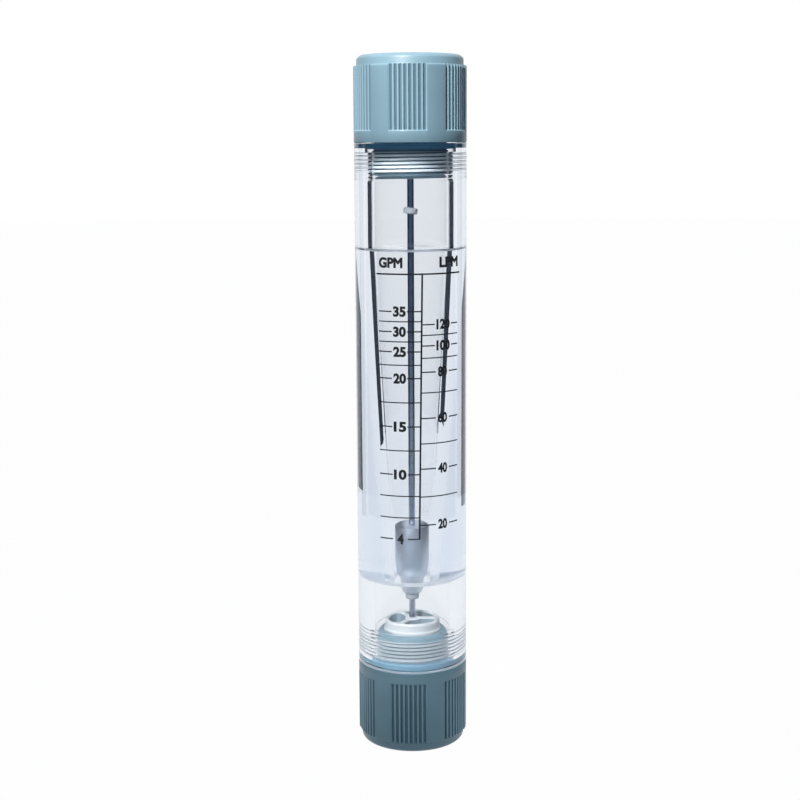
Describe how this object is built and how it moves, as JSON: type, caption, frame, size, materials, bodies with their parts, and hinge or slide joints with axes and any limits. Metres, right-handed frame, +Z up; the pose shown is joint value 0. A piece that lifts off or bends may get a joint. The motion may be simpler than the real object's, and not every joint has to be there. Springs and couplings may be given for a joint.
{
  "type": "rotameter",
  "caption": "In-line variable-area flow meter: taper-bored clear tube with a guided float between fluted end fittings that screw in.",
  "frame": {"origin": "centre of the lower fitting's end face, on which the meter stands", "axes": "+Z up along the tube's axis in the direction of flow; the printed scale faces -Y"},
  "size_m": [0.0594, 0.0594, 0.372],
  "materials": {
    "clear_acrylic": "polished",
    "grey_abs": "satin moulded",
    "white_acetal": "satin moulded",
    "clear_white_stop": "satin",
    "float_steel": "turned, satin",
    "rod_steel": "ground",
    "seal_rubber": "moulded"
  },
  "bodies": {
    "base": {"lower_end_fitting": "grey_abs", "lower_rod_holder": "white_acetal", "upper_rod_holder": "white_acetal", "guide_rod": "rod_steel", "lower_float_stop": "clear_white_stop", "upper_float_stop": "clear_white_stop", "lower_rod_washer": "rod_steel", "upper_rod_washer": "rod_steel", "lower_rod_nut": "rod_steel", "upper_rod_nut": "rod_steel"},
    "lower_seal": {"lower_seal_ring": "seal_rubber"},
    "tube": {"metering_tube": "clear_acrylic"},
    "upper_seal": {"upper_seal_ring": "seal_rubber"},
    "upper_fitting": {"upper_end_fitting": "grey_abs"},
    "float": {"float_body": "float_steel"}
  },
  "joints": [
    {"name": "float_slide", "type": "slide", "parent": "base", "child": "float", "axis": [0, 0, 1], "range_m": [0, 0.1675]},
    {"name": "tube_turn", "type": "hinge", "parent": "base", "child": "lower_seal", "pos_m": [0, 0, 0.047], "axis": [0, 0, 1], "range_deg": [0, 2520]},
    {"name": "tube_rise", "type": "slide", "parent": "lower_seal", "child": "tube", "axis": [0, 0, 1], "range_m": [0, 0.014]},
    {"name": "upper_fitting_rise", "type": "slide", "parent": "tube", "child": "upper_seal", "axis": [0, 0, 1], "range_m": [0, 0.014]},
    {"name": "upper_fitting_turn", "type": "hinge", "parent": "upper_seal", "child": "upper_fitting", "pos_m": [0, 0, 0.325], "axis": [0, 0, 1], "range_deg": [0, 2520]}
  ],
  "couplings": [
    {"joint": "tube_rise", "follows": "tube_turn", "m_per_rad": 0.0003183},
    {"joint": "upper_fitting_rise", "follows": "upper_fitting_turn", "m_per_rad": 0.0003183}
  ]
}
